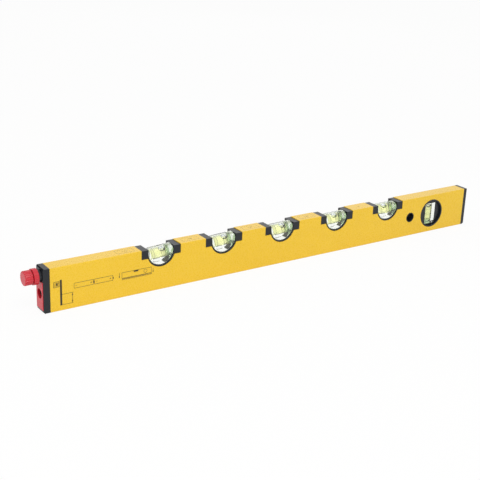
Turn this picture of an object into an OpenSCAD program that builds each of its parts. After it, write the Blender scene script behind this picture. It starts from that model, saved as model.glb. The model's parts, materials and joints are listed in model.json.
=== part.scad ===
// Laser gradient spirit level: a box-section aluminium body with five gradient vials in its
// top edge, a plumb vial and a hanging hole near one end, and a laser unit in the other end.
// The origin is the middle of the base face. X runs along the level from the laser end to
// the plain end, Y from the front to the back, and Z up. Sizes are in millimetres.

/* [Body] */
// Overall length between the outer faces of the two end caps
level_len = 600; // [590:5:1000]
// Height of the box section
body_h = 49; // [47:0.5:65]
// Depth of the box section, front to back
body_d = 18.5; // [18.2:0.1:28]
// Wall of the box section
body_wall = 1.6; // [1.2:0.1:2.2]
// Radius of the box section's long outer edges
body_edge_r = 0.7; // [0.3:0.1:1.1]

/* [End caps] */
// Thickness of the cap that carries the laser unit
laser_cap_t = 7.2; // [6:0.1:12]
// Thickness of the plain cap
plain_cap_t = 6; // [4:0.1:12]
// Chamfer round the outer face of both caps
cap_chamfer = 1.2; // [0.5:0.1:1.5]
// Chamfer at the foot of the plain cap
plain_foot_chamfer = 3; // [1.2:0.1:3.5]
// Length of the spigot that goes into the box section
spigot_len = 14; // [10:0.5:20]
// Wall of the plain cap's hollow spigot
spigot_wall = 2; // [1.5:0.1:3]
// Clearance between a spigot and the box section
spigot_gap = 0.1; // [0.05:0.01:0.2]

/* [Vials] */
// Distance from one vial to the next, the third at mid-length
vial_pitch = 81.1; // [70:0.1:81.5]
// Length of a holder over its two shoulders
holder_len = 48.8; // [44:0.1:52]
// Height of a holder's shoulders
shoulder_h = 9.8; // [8:0.1:14]
// Depth of a holder's shoulders below the measuring face
holder_recess = 0.6; // [0.2:0.1:1.5]
// Depth of a holder's faces behind the front and back of the body
holder_inset = 0.2; // [0.1:0.05:0.6]
// Clearance between a holder and the cut in the body
holder_gap = 0.1; // [0.05:0.01:0.2]
// Inner radius of a holder's window
window_r = 15.7; // [13:0.1:19]
// Radial width of the window's rim
window_rim = 1.8; // [1.2:0.1:3]
// Distance of the window's centre below the measuring face
window_drop = 4.5; // [3:0.1:7]
// Depth of a clear block's crest below the measuring face
block_drop = 1.1; // [1.1:0.1:3]
// Depth of a clear block's faces behind the front and back of the body
block_inset = 0.8; // [0.4:0.1:1.5]
// Clearance between a clear block and its window
block_gap = 0.15; // [0.05:0.05:0.3]
// Radius of the bore that holds the liquid
bore_r = 4.6; // [4:0.1:5.6]
// Distance of the bore's axis below the window's centre
bore_drop = 5.05; // [4.8:0.05:6.5]
// Least wall between the blind end of the bore and the block's edge
bore_wall = 1.2; // [0.6:0.1:3]
// Least length of the plug that closes the bore
plug_len = 3.2; // [2:0.1:4]
// Length of a bubble
bubble_len = 8.5; // [6:0.1:9]
// Radius of a bubble
bubble_r = 1.7; // [1.4:0.1:2]
// Run over one unit of rise shown by the first vial, or 0 for a level one
gradient_1 = 15; // [0, 15, 20, 30, 40, 60, 80, 100]
// Run over one unit of rise shown by the second vial
gradient_2 = 20; // [0, 15, 20, 30, 40, 60, 80, 100]
// Run over one unit of rise shown by the third vial
gradient_3 = 30; // [0, 15, 20, 30, 40, 60, 80, 100]
// Run over one unit of rise shown by the fourth vial
gradient_4 = 40; // [0, 15, 20, 30, 40, 60, 80, 100]
// Run over one unit of rise shown by the fifth vial
gradient_5 = 0; // [0, 15, 20, 30, 40, 60, 80, 100]

/* [Plumb vial and hanging hole] */
// Distance of the plumb vial from the plain end
plumb_from_end = 61.7; // [55:0.1:64]
// Radius of the plumb vial's bezels
plumb_r = 18.5; // [17:0.1:20]
// Width of the bezels' rim
plumb_rim = 1.7; // [1.2:0.1:2.5]
// Depth of the dish inside the rim
plumb_dish = 2.75; // [2:0.05:4]
// Width of the plumb vial's clear block
plumb_block_w = 16.5; // [14:0.1:18]
// Height of the plumb vial's clear block
plumb_block_h = 27.4; // [26:0.1:28]
// Distance of that block's middle below the middle of the bezels
plumb_block_drop = 1; // [0:0.1:1.5]
// Radius of the plumb vial's bore
plumb_bore_r = 5.2; // [4.5:0.1:5.6]
// Clear wall above the plumb vial's bore
plumb_top_wall = 1.5; // [1:0.1:2.5]
// Height of the plug below the plumb vial's liquid
plumb_plug_h = 4.8; // [2.5:0.1:6]
// Length of the plumb vial's bubble
plumb_bubble_len = 4.4; // [4.3:0.1:8]
// Radius of the plumb vial's bubble
plumb_bubble_r = 2.1; // [1.5:0.1:2.1]
// Distance of the hanging hole from the plain end
hang_from_end = 98.4; // [92:0.1:99]
// Outer radius of the hanging hole's bush
bush_r = 6.35; // [5.5:0.05:7]
// Radius of the hole through the bush
hang_hole_r = 5.25; // [4.5:0.05:5.5]

/* [Laser unit] */
// Width of the face plate
plate_w = 15.3; // [14:0.1:15.6]
// Foot of the face plate above the base
plate_z0 = 3; // [2:0.1:5]
// Top of the face plate above the base
plate_z1 = 34.3; // [30:0.1:36]
// Part of the face plate that sits in the cap
plate_sunk = 2.5; // [1.5:0.1:3]
// Part of the face plate that stands proud of the cap
plate_proud = 0.7; // [0.3:0.1:1.5]
// Height of the laser's axis above the base
laser_z = 20; // [18:0.5:22]
// Radius of the aperture in the face plate and the cap
aperture_r = 5.3; // [4.8:0.1:5.5]
// Radius of the laser module's barrel
barrel_r = 5; // [4.5:0.1:5.1]
// Length of the laser module's barrel
barrel_len = 24; // [20:0.5:30]
// Radius of the bore inside the barrel
barrel_bore_r = 3.6; // [3.5:0.1:3.8]

/* [Switch knob and cells] */
// Distance of the knob's axis below the measuring face
knob_drop = 9.2; // [9:0.1:10]
// Length of the threaded neck outside the cap
neck_len = 8.2; // [7:0.1:10]
// Wall of the threaded neck
neck_wall = 1.1; // [1:0.1:1.4]
// Radius of the collar on the neck
collar_r = 8.7; // [8.2:0.1:8.9]
// Length of the collar
collar_len = 5.2; // [4:0.1:6]
// Thickness of the collar's lip over the end of the neck
collar_lip = 0.6; // [0.5:0.1:1]
// Radius of the knob's grip
knob_r = 7.8; // [7:0.1:8.2]
// Length of the knob's grip
knob_len = 8.4; // [7:0.1:12]
// Chamfer on the knob's end
knob_chamfer = 0.9; // [0.4:0.1:1.5]
// Number of flutes round the knob
flute_count = 18; // [12:1:24]
// Radius of a flute
flute_r = 0.75; // [0.4:0.05:0.9]
// Depth of a flute
flute_depth = 0.5; // [0.2:0.05:0.7]
// Gap between the knob and the collar when switched off
knob_gap = 1; // [0.9:0.05:1.5]
// Advance of the knob for one turn
thread_pitch = 1; // [0.8:0.05:1.1]
// Turn of the knob from off to on, in degrees
knob_turn = 270; // [180:10:270]
// Radius of one cell
cell_r = 5.25; // [4.2:0.05:6.3]
// Length of one cell
cell_len = 44.5; // [40:0.1:44.5]
// Clearance round the cells
cell_gap = 0.25; // [0.2:0.05:0.35]
// Wall of the tube round the cells
cell_tube_wall = 0.7; // [0.5:0.05:0.8]

/* [Hidden] */
$fn = 96;
vial_count = 5;
vial_numbers = [for (i = [1:vial_count]) i];
gradients = [gradient_1, gradient_2, gradient_3, gradient_4, gradient_5];
// Place of each bubble on a level base, as a share of its free travel towards the plain end
bubble_shares = [0.98, 0.97, 0.88, 0.28, 0];

// Length by which a cutting shape runs past what it cuts
over = 1;
// Clearance of pieces that are glued, pressed or screwed together
fixed_gap = 0.05;
// Radial clearance of pieces that turn in one another
turn_gap = 0.08;
// Clearance between a bubble and what lies round it
bubble_gap = 0.3;
// Clearance between a bubble and the ends of its travel
bubble_end_gap = 0.15;
// Clearance of a reading line from the bore and from the liquid
line_gap = 0.02;
// Thickness and width of a reading line
line_t = 0.16;
line_w = 0.25;
// Distance from the end of a centred bubble to a reading line
line_clear = 1.6;

// Body and caps
left_x = -level_len / 2;
right_x = level_len / 2;
body_x0 = left_x + laser_cap_t;
body_x1 = right_x - plain_cap_t;
spigot_inset = body_wall + spigot_gap;

// Vials
holder_top = body_h - holder_recess;
holder_d = body_d - 2 * holder_inset;
shoulder_z = holder_top - shoulder_h;
window_z = body_h - window_drop;
rim_r = window_r + window_rim;
block_r = window_r - block_gap;
block_d = body_d - 2 * block_inset;
block_rise = window_drop - block_drop;
bore_chord = sqrt(block_r * block_r - (bore_drop + bore_r) * (bore_drop + bore_r));
bore_half = bore_chord - (bore_wall + plug_len) / 2;
bore_shift = (bore_wall - plug_len) / 2;
line_r = bore_r - line_gap;
liquid_r = line_r - line_t - line_gap;
bubble_rise = line_r - line_t - bubble_gap - bubble_r;
bubble_travel = bore_half - bubble_len / 2 - bubble_end_gap;
line_x = bubble_len / 2 + line_clear;

// Plumb vial and hanging hole
plumb_x = right_x - plumb_from_end;
plumb_z = body_h / 2;
plumb_block_d = body_d - 2 * plumb_dish;
plumb_block_z = plumb_z - plumb_block_drop;
plumb_block_z0 = plumb_block_z - plumb_block_h / 2;
plumb_block_z1 = plumb_block_z + plumb_block_h / 2;
plumb_bore_z0 = plumb_block_z0 + plumb_plug_h;
plumb_bore_z1 = plumb_block_z1 - plumb_top_wall;
plumb_line_r = plumb_bore_r - line_gap;
plumb_liquid_r = plumb_line_r - line_t - line_gap;
plumb_bubble_z = plumb_bore_z1 - bubble_gap - plumb_bubble_len / 2;
plumb_line_z = plumb_bubble_len / 2 + line_clear;
hang_x = right_x - hang_from_end;
hang_z = body_h / 2;

// Laser unit, counted along X from the outer face of its cap
barrel_s0 = laser_cap_t + fixed_gap;
barrel_s1 = barrel_s0 + barrel_len;
barrel_lip = 0.8;
barrel_lip_r = 2.2;
lens_r = barrel_bore_r - fixed_gap;
lens_t = 2;
focal_gap = 12.2;
diode_s0 = barrel_s0 + barrel_lip + lens_t + focal_gap;
diode_can_len = 3;
diode_flange_t = 1.2;
diode_can_r = 2.4;
diode_leg_r = 0.25;
diode_leg_len = 2.4;
diode_leg_pitch = 1.27;
diode_end = diode_s0 + diode_can_len + diode_flange_t;
board_s0 = diode_end + diode_leg_len;
board_len = 24;
board_w = 6.4;
board_t = 1.2;
board_z = laser_z - diode_leg_r - board_t;
board_top = board_z + board_t;
board_free = barrel_s1 + 2;

// Switch knob and cells, counted along X from the outer face of the laser cap
knob_z = body_h - knob_drop;
knob_bore_r = cell_r + cell_gap;
neck_r = knob_bore_r + neck_wall;
collar_s1 = -neck_len - collar_lip;
collar_s0 = collar_s1 + collar_len;
knob_s0 = collar_s1 - knob_gap;
knob_s1 = knob_s0 - knob_len;
knob_advance = thread_pitch * knob_turn / 360;
stem_r = knob_bore_r - turn_gap;
stem_end = 2;
seal_s = -neck_len * 5 / 8;
seal_r = 0.72;
seal_groove_w = 2 * (seal_r + turn_gap);
seal_ring_r = stem_r - seal_r;
seal_floor_r = seal_ring_r - seal_r - fixed_gap;
tail_pin_r = 1.5;
tail_pin_len = 3;
tail_disc_r = 4.2;
tail_disc_t = 1;
tail_nub_r = 2;
tail_nub_t = 0.7;
tail_disc_s = stem_end + turn_gap;
tail_end = tail_disc_s + tail_disc_t + tail_nub_t;
cell_s0 = tail_end + knob_advance + fixed_gap;
cell_cap_r = 1.9;
cell_cap_t = 0.8;
cell_tube_s0 = stem_end + tail_disc_t;
cell_tube_r = knob_bore_r + cell_tube_wall;
contact_s0 = cell_s0 + 2 * cell_len;
contact_t = 0.6;
contact_tail_r = 1;
end_plug_t = 3;
end_plug_s1 = contact_s0 + contact_t + end_plug_t;
wire_r = 0.6;
wire_turn = 3;

function vial_x(i) = (i - (vial_count + 1) / 2) * vial_pitch;
function tilt(i) = gradients[i - 1] == 0 ? 0 : atan(1 / gradients[i - 1]);

// A flat shape in the X-Z plane, given depth about the middle of Y
module through_depth(depth) {
    rotate([90, 0, 0]) translate([0, 0, -depth / 2]) linear_extrude(depth) children();
}

// A flat shape in the Y-Z plane, drawn out along X
module along_length(x0, x1) {
    translate([x0, 0, 0]) rotate([90, 0, 90]) linear_extrude(x1 - x0) children();
}

module rod_x(r, x0, x1, z) {
    translate([x0, 0, z]) rotate([0, 90, 0]) cylinder(h = x1 - x0, r = r);
}

module rod_y(r, y0, y1, x, z) {
    translate([x, y0, z]) rotate([-90, 0, 0]) cylinder(h = y1 - y0, r = r);
}

// A rod of the laser unit, placed from the cap's outer face
module unit_rod(r, s0, s1, z) {
    rod_x(r, left_x + s0, left_x + s1, z);
}

module rounded_rect(w, h, r) {
    square([w - 2 * r, h], center = true);
    square([w, h - 2 * r], center = true);
    for (x = [-1, 1], y = [-1, 1])
        translate([x * (w / 2 - r), y * (h / 2 - r)]) circle(r);
}

module section(inset) {
    translate([0, body_h / 2])
        rounded_rect(body_d - 2 * inset, body_h - 2 * inset, body_edge_r);
}

// Outline of a vial's place in the body, seen from the front
module holder_outline(grow, top) {
    intersection() {
        translate([-holder_len, 0]) square([2 * holder_len, top]);
        union() {
            translate([-holder_len / 2 - grow, shoulder_z - grow])
                square([holder_len + 2 * grow, body_h]);
            translate([0, window_z]) circle(rim_r + grow);
        }
    }
}

// Round foot and straight sides, open to the top
module window_outline(r) {
    translate([0, window_z]) circle(r);
    translate([-r, window_z]) square([2 * r, body_h]);
}

// Moves its children to the centre of a vial's window, turned to show that vial's gradient
module in_window(i) {
    translate([vial_x(i), 0, window_z]) rotate([0, -tilt(i), 0]) children();
}

// Moves its children to the middle of a vial's bore
module at_bore(i) {
    in_window(i) translate([bore_shift, 0, -bore_drop]) children();
}

module body_tube() {
    color("gold") difference() {
        along_length(body_x0, body_x1) section(0);
        along_length(body_x0 - over, body_x1 + over) section(body_wall);
        for (i = vial_numbers)
            translate([vial_x(i), 0, 0])
                through_depth(body_d + 2 * over) holder_outline(holder_gap, body_h + over);
        rod_y(bush_r + fixed_gap, -body_d, body_d, hang_x, hang_z);
        rod_y(plumb_r + fixed_gap, -body_d, body_d, plumb_x, plumb_z);
    }
}

// Cap of thickness t with the edges of its outer face, at X zero, chamfered
module cap_block(t, foot_chamfer) {
    c = cap_chamfer;
    intersection() {
        along_length(0, t) section(0);
        through_depth(body_d + over)
            polygon([[foot_chamfer, 0], [t, 0], [t, body_h], [c, body_h], [0, body_h - c],
                     [0, foot_chamfer]]);
        linear_extrude(body_h)
            polygon([[c, -body_d / 2], [t, -body_d / 2], [t, body_d / 2], [c, body_d / 2],
                     [0, body_d / 2 - c], [0, c - body_d / 2]]);
    }
}

module spigot(x0, x1) {
    along_length(x0, x1) section(spigot_inset);
}

module face_plate_outline(grow) {
    translate([-plate_w / 2 - grow, plate_z0 - grow])
        square([plate_w + 2 * grow, plate_z1 - plate_z0 + 2 * grow]);
}

module laser_end_cap() {
    color("#2c2d2f") difference() {
        union() {
            translate([left_x, 0, 0]) cap_block(laser_cap_t, cap_chamfer);
            spigot(body_x0, body_x0 + spigot_len);
            unit_rod(neck_r, -neck_len, laser_cap_t, knob_z);
        }
        unit_rod(knob_bore_r, -neck_len - over, cell_tube_s0 + over, knob_z);
        unit_rod(cell_tube_r + fixed_gap, cell_tube_s0, laser_cap_t + spigot_len + over, knob_z);
        difference() {
            along_length(left_x - over, left_x + plate_sunk) face_plate_outline(fixed_gap);
            unit_rod(neck_r, -2 * over, plate_sunk + over, knob_z);
        }
        unit_rod(aperture_r, 0, barrel_s0, laser_z);
        unit_rod(barrel_r + fixed_gap, 0, laser_cap_t + spigot_len + over, laser_z);
    }
}

module plain_end_cap() {
    color("#2c2d2f") difference() {
        union() {
            translate([right_x, 0, 0]) mirror([1, 0, 0]) cap_block(plain_cap_t, plain_foot_chamfer);
            spigot(body_x1 - spigot_len, body_x1);
        }
        along_length(body_x1 - spigot_len - over, body_x1) section(spigot_inset + spigot_wall);
    }
}

module hang_hole_bush() {
    color("#222325") difference() {
        rod_y(bush_r, -body_d / 2, body_d / 2, hang_x, hang_z);
        rod_y(hang_hole_r, -body_d, body_d, hang_x, hang_z);
    }
}

module vial_holder(i) {
    color("#26282b") translate([vial_x(i), 0, 0]) difference() {
        through_depth(holder_d) holder_outline(0, holder_top);
        through_depth(body_d) window_outline(window_r);
    }
}

// Outer form of a clear block: a disc from the front, with a half-round crest from the end
module block_form(i) {
    crest_r = block_d / 2;
    crest_z = block_rise - crest_r;
    in_window(i) intersection() {
        through_depth(block_d) circle(block_r);
        along_length(-block_r, block_r) union() {
            translate([0, crest_z]) circle(crest_r);
            translate([-crest_r, -block_r]) square([block_d, block_r + crest_z]);
        }
    }
}

module vial_block(i) {
    color([0.9, 0.95, 0.9, 0.35]) difference() {
        block_form(i);
        at_bore(i) rod_x(bore_r, -bore_half, 2 * block_r, 0);
    }
}

module vial_liquid(i) {
    channel_r = bubble_r + bubble_gap;
    color("#e4ee7a") at_bore(i) difference() {
        rod_x(liquid_r, -bore_half, bore_half, 0);
        rod_x(channel_r, -bore_half - over, bore_half + over, bubble_rise);
        translate([-bore_half - over, -channel_r, bubble_rise])
            cube([2 * bore_half + 2 * over, 2 * channel_r, bore_r]);
    }
}

// A round-ended bubble about the origin, along Z
module bubble_form(r, len) {
    reach = len / 2 - r;
    cylinder(h = 2 * reach, r = r, center = true);
    for (end = [-1, 1])
        translate([0, 0, end * reach]) sphere(r);
}

module vial_bubble(i) {
    color([1, 1, 1, 0.5]) at_bore(i)
        translate([bubble_travel * bubble_shares[i - 1], 0, bubble_rise])
            rotate([0, 90, 0]) bubble_form(bubble_r, bubble_len);
}

module vial_plug(i) {
    color("#c9d6b4") intersection() {
        block_form(i);
        at_bore(i) rod_x(bore_r - fixed_gap, bore_half, 2 * block_r, 0);
    }
}

module vial_lines(i) {
    color("#1c1c1c") at_bore(i)
        for (side = [-1, 1])
            translate([side * line_x, 0, 0]) difference() {
                rod_x(line_r, -line_w / 2, line_w / 2, 0);
                rod_x(line_r - line_t, -line_w, line_w, 0);
            }
}

// One half of the plumb vial's black housing, from the body's middle to one face
module plumb_bezel(side) {
    difference() {
        rod_y(plumb_r, min(0, side * body_d / 2), max(0, side * body_d / 2), plumb_x, plumb_z);
        rod_y(plumb_r - plumb_rim, side * body_d / 2 - plumb_dish, side * body_d / 2 + plumb_dish,
              plumb_x, plumb_z);
        translate([plumb_x, 0, plumb_block_z])
            cube([plumb_block_w + 2 * fixed_gap, 2 * body_d, plumb_block_h + 2 * fixed_gap],
                 center = true);
    }
}

module plumb_bezel_front() {
    color("#26282b") plumb_bezel(-1);
}

module plumb_bezel_back() {
    color("#26282b") plumb_bezel(1);
}

module plumb_rod(r, z0, z1) {
    translate([plumb_x, 0, z0]) cylinder(h = z1 - z0, r = r);
}

module plumb_block() {
    color([0.9, 0.95, 0.9, 0.35]) difference() {
        translate([plumb_x, 0, plumb_block_z])
            cube([plumb_block_w, plumb_block_d, plumb_block_h], center = true);
        plumb_rod(plumb_bore_r, plumb_block_z0 - over, plumb_bore_z1);
    }
}

module plumb_liquid() {
    color("#e4ee7a") difference() {
        plumb_rod(plumb_liquid_r, plumb_bore_z0, plumb_bore_z1);
        plumb_rod(plumb_bubble_r + bubble_gap, plumb_bore_z0 - over, plumb_bore_z1 + over);
    }
}

module plumb_bubble() {
    color([1, 1, 1, 0.5]) translate([plumb_x, 0, plumb_bubble_z])
        bubble_form(plumb_bubble_r, plumb_bubble_len);
}

module plumb_plug() {
    color("#c9d6b4") plumb_rod(plumb_bore_r - fixed_gap, plumb_block_z0, plumb_bore_z0);
}

module plumb_lines() {
    middle = (plumb_bore_z0 + plumb_bore_z1) / 2;
    color("#1c1c1c")
        for (side = [-1, 1])
            difference() {
                plumb_rod(plumb_line_r, middle + side * plumb_line_z - line_w / 2,
                          middle + side * plumb_line_z + line_w / 2);
                plumb_rod(plumb_line_r - line_t, plumb_block_z0, plumb_block_z1);
            }
}

module laser_face_plate() {
    color("#d8414f") difference() {
        along_length(left_x - plate_proud, left_x + plate_sunk) face_plate_outline(0);
        unit_rod(aperture_r, -plate_proud - over, plate_sunk + over, laser_z);
        unit_rod(neck_r + fixed_gap, -plate_proud - over, plate_sunk + over, knob_z);
    }
}

module laser_barrel() {
    color("#1d1e20") difference() {
        unit_rod(barrel_r, barrel_s0, barrel_s1, laser_z);
        unit_rod(barrel_bore_r, barrel_s0 + barrel_lip, barrel_s1 + over, laser_z);
        unit_rod(barrel_lip_r, barrel_s0 - over, barrel_s0 + barrel_lip + over, laser_z);
    }
}

module laser_lens() {
    s0 = barrel_s0 + barrel_lip;
    color([0.7, 0.8, 0.9, 0.5]) unit_rod(lens_r, s0, s0 + lens_t, laser_z);
}

module laser_diode() {
    color("#c8a85a") {
        unit_rod(diode_can_r, diode_s0, diode_s0 + diode_can_len + diode_flange_t, laser_z);
        unit_rod(lens_r, diode_s0 + diode_can_len, diode_end, laser_z);
        for (side = [-1, 1])
            translate([0, side * diode_leg_pitch, 0])
                unit_rod(diode_leg_r, diode_end - over, board_s0 + diode_leg_len, laser_z);
    }
}

module driver_board() {
    color("#2f7a4a") translate([left_x + board_s0, -board_w / 2, board_z])
        cube([board_len, board_w, board_t]);
}

// A chip, a resistor and a capacitor in a row on the board
module board_components() {
    chip = [5, 4, 1.5];
    resistor = [3.2, 1.6, 0.6];
    capacitor_r = 1.6;
    capacitor_h = 3;
    spacing = 1.5;
    resistor_s = board_free + chip[0] + spacing;
    capacitor_s = resistor_s + resistor[0] + spacing + capacitor_r;
    color("#2a2a2c") {
        translate([left_x + board_free, -chip[1] / 2, board_top]) cube(chip);
        translate([left_x + resistor_s, -resistor[1] / 2, board_top]) cube(resistor);
        translate([left_x + capacitor_s, 0, board_top]) cylinder(h = capacitor_h, r = capacitor_r);
    }
}

// One insulated wire through its corner points, given as [distance from the cap's face, height]
module wire(y, points) {
    for (k = [0:len(points) - 2]) {
        a = [left_x + points[k][0], y, points[k][1]];
        b = [left_x + points[k + 1][0], y, points[k + 1][1]];
        run = b - a;
        translate(a) rotate([0, atan2(run[0], run[2]), 0]) cylinder(h = norm(run), r = wire_r);
    }
    for (k = [1:len(points) - 2])
        translate([left_x + points[k][0], y, points[k][1]]) sphere(wire_r);
}

// One wire from the cells' front contact and one from the tube, both to the board's end
module supply_wires() {
    joint_s = board_s0 + board_len - over;
    joint_z = board_top + wire_r;
    wire_y = board_w / 2 - 2 * wire_r;
    front_s = end_plug_s1 + wire_turn;
    tube_s = joint_s + wire_turn;
    tube_z = knob_z - sqrt((cell_tube_r + wire_r) * (cell_tube_r + wire_r) - wire_y * wire_y);
    color("#b3342c") {
        wire(0, [[end_plug_s1 + over, knob_z], [front_s, knob_z], [front_s, joint_z], [joint_s, joint_z]]);
        wire(wire_y, [[tube_s, tube_z], [tube_s, joint_z], [joint_s, joint_z]]);
    }
}

module knob_collar() {
    color("#d8414f") difference() {
        unit_rod(collar_r, collar_s1, collar_s0, knob_z);
        unit_rod(neck_r + fixed_gap, collar_s1 + collar_lip, collar_s0 + over, knob_z);
        unit_rod(knob_bore_r + fixed_gap, collar_s1 - over, collar_s0 + over, knob_z);
    }
}

// Fluted grip, stem with a groove for the seal, and the hole for the contact's pin
module switch_knob() {
    color("#d8414f") difference() {
        translate([left_x, 0, knob_z]) rotate([0, 90, 0]) rotate_extrude()
            polygon([[0, knob_s1], [knob_r - knob_chamfer, knob_s1], [knob_r, knob_s1 + knob_chamfer],
                     [knob_r, knob_s0], [stem_r, knob_s0], [stem_r, seal_s - seal_groove_w / 2],
                     [seal_floor_r, seal_s - seal_groove_w / 2],
                     [seal_floor_r, seal_s + seal_groove_w / 2],
                     [stem_r, seal_s + seal_groove_w / 2], [stem_r, stem_end], [0, stem_end]]);
        for (k = [0:flute_count - 1])
            translate([left_x + knob_s1 - over, 0, knob_z]) rotate([k * 360 / flute_count, 0, 0])
                translate([0, knob_r - flute_depth + flute_r, 0]) rotate([0, 90, 0])
                    cylinder(h = knob_len + 2 * over, r = flute_r);
        unit_rod(tail_pin_r + turn_gap, stem_end - tail_pin_len, stem_end + over, knob_z);
    }
}

module knob_seal_ring() {
    color("#18181a") translate([left_x + seal_s, 0, knob_z]) rotate([0, 90, 0])
        rotate_extrude() translate([seal_ring_r, 0]) circle(seal_r);
}

module tail_contact() {
    color("#c9a24a") {
        unit_rod(tail_pin_r, stem_end - tail_pin_len + turn_gap, tail_disc_s, knob_z);
        unit_rod(tail_disc_r, tail_disc_s, tail_disc_s + tail_disc_t, knob_z);
        unit_rod(tail_nub_r, tail_disc_s + tail_disc_t, tail_end, knob_z);
    }
}

module battery_tube() {
    color("silver") difference() {
        unit_rod(cell_tube_r, cell_tube_s0, end_plug_s1, knob_z);
        unit_rod(knob_bore_r, cell_tube_s0 - over, end_plug_s1 + over, knob_z);
    }
}

module battery_cell(k) {
    s0 = cell_s0 + (k - 1) * cell_len;
    color("#3a4a5c") {
        unit_rod(cell_r, s0, s0 + cell_len - cell_cap_t, knob_z);
        unit_rod(cell_cap_r, s0 + cell_len - cell_cap_t, s0 + cell_len, knob_z);
    }
}

module front_contact() {
    color("#c9a24a") {
        unit_rod(cell_r, contact_s0, contact_s0 + contact_t, knob_z);
        unit_rod(contact_tail_r, contact_s0 + contact_t, end_plug_s1 + over, knob_z);
    }
}

module battery_end_plug() {
    color("#dcdcd6") difference() {
        unit_rod(knob_bore_r - fixed_gap, contact_s0 + contact_t, end_plug_s1, knob_z);
        unit_rod(contact_tail_r + fixed_gap, contact_s0, end_plug_s1 + over, knob_z);
    }
}

body_tube();
laser_end_cap();
plain_end_cap();
hang_hole_bush();
for (i = vial_numbers) {
    vial_holder(i);
    vial_block(i);
    vial_liquid(i);
    vial_bubble(i);
    vial_plug(i);
    vial_lines(i);
}
plumb_bezel_front();
plumb_bezel_back();
plumb_block();
plumb_liquid();
plumb_bubble();
plumb_plug();
plumb_lines();
laser_face_plate();
laser_barrel();
laser_lens();
laser_diode();
driver_board();
board_components();
supply_wires();
knob_collar();
switch_knob();
knob_seal_ring();
tail_contact();
battery_tube();
battery_cell(1);  // battery_cell_1
battery_cell(2);  // battery_cell_2
front_contact();
battery_end_plug();
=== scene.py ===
# %% [markdown]
# # A laser gradient spirit level
#
# The real thing is a straight aluminium box section, powder coated yellow. Five acrylic vials are
# let into its top edge, a plumb vial and a hanging hole sit near one end, and a laser unit with a
# screw-in switch knob closes the other. The measured model is loaded first and stays as it is.
# It could be shown bare, but it has no paint, liquid or print, so the cells below give each piece
# its finish, and remake the pieces that need softer edges or real optics.

# %% Load the measured frame
import json
import math

import bmesh
import bpy
from mathutils import Matrix, Vector


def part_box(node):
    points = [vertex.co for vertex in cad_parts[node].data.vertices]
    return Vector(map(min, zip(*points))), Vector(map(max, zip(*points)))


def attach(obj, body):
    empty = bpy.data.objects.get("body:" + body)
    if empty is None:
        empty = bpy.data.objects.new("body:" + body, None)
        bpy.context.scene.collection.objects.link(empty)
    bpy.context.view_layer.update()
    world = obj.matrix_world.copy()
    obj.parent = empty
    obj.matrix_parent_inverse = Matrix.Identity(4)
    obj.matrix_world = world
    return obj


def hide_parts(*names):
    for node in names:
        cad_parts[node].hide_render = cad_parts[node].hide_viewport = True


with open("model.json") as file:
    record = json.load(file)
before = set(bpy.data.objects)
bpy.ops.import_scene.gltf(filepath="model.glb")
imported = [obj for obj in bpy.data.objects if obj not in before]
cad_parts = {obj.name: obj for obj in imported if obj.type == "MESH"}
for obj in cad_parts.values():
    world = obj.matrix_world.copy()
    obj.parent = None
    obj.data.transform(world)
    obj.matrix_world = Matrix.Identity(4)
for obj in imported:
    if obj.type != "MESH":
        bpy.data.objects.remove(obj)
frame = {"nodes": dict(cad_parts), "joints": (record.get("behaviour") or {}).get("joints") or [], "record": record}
nodes = frame["nodes"]
joints = {joint["name"]: joint for joint in frame["joints"]}
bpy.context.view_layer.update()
MM = 0.001

# %% [markdown]
# ## Camera
#
# The level is seen from its laser end, a little from above. The camera could be set by eye, but
# the long edges of the body give its place exactly, so the eye, the point it looks at and the
# small roll are written as solved from them. The roll is turned about the line of sight.

# %% Camera at the photograph's angle
EYE = Vector((-692.86, -930.96, 454.69)) * MM
AIM = Vector((-59.67, -9.25, 39.545)) * MM
ROLL = math.radians(2.284)
LENS = 78.675

towards_eye = (EYE - AIM).normalized()
sideways = Vector((0, 0, 1)).cross(towards_eye).normalized()
upright = Matrix((sideways, towards_eye.cross(sideways), towards_eye)).transposed().to_4x4()
camera = bpy.data.objects.new("photo_camera", bpy.data.cameras.new("photo_camera"))
camera.data.lens = LENS
camera.matrix_world = Matrix.Translation(EYE) @ upright @ Matrix.Rotation(ROLL, 4, "Z")
bpy.context.scene.collection.objects.link(camera)
bpy.context.scene.camera = camera
print("camera distance in mm:", round((EYE - AIM).length / MM, 1))

# %% [markdown]
# ## Colours and nodes
#
# Colours are given as sRGB hex, as a screen shows them, and turned to the linear values that the
# renderer works with. One small function adds a node, with its settings and its links, because a
# material is nothing more than a handful of such nodes.

# %% Helpers for colours and node trees
def colour(hex_code):
    channels = [int(hex_code[k:k + 2], 16) / 255 for k in (1, 3, 5)]
    linear = [c / 12.92 if c <= 0.04045 else ((c + 0.055) / 1.055) ** 2.4 for c in channels]
    return (*linear, 1.0)


def add_node(tree, kind, links=None, **settings):
    node = tree.nodes.new(kind)
    for name, value in settings.items():
        setattr(node, name, value)
    for socket, value in (links or {}).items():
        if isinstance(value, bpy.types.NodeSocket):
            tree.links.new(value, node.inputs[socket])
        else:
            node.inputs[socket].default_value = value
    return node


print("coat yellow in linear values:", [round(v, 3) for v in colour("#F1C420")[:3]])

# %% [markdown]
# ## White room
#
# Product pictures like this are taken in a white room before a white backdrop. The room could be
# lit brighter until all behind the level burns out, but that would bleach the yellow too. Instead
# the room only looks white, to the eye, in gloss and through glass, and the light that falls on
# the level is gentler. A black card beside the backdrop, which only gloss and glass can see, draws
# the dark lines in clear acrylic, as photographers do it.

# %% A room that looks white and lights gently
ROOM_LIGHT = 0.70
CARD_SIDE = Vector((-0.38, 0.77, 0.51))
CARD_EDGE = (0.84, 0.90)
CARD_SHADE = 0.05


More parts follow.
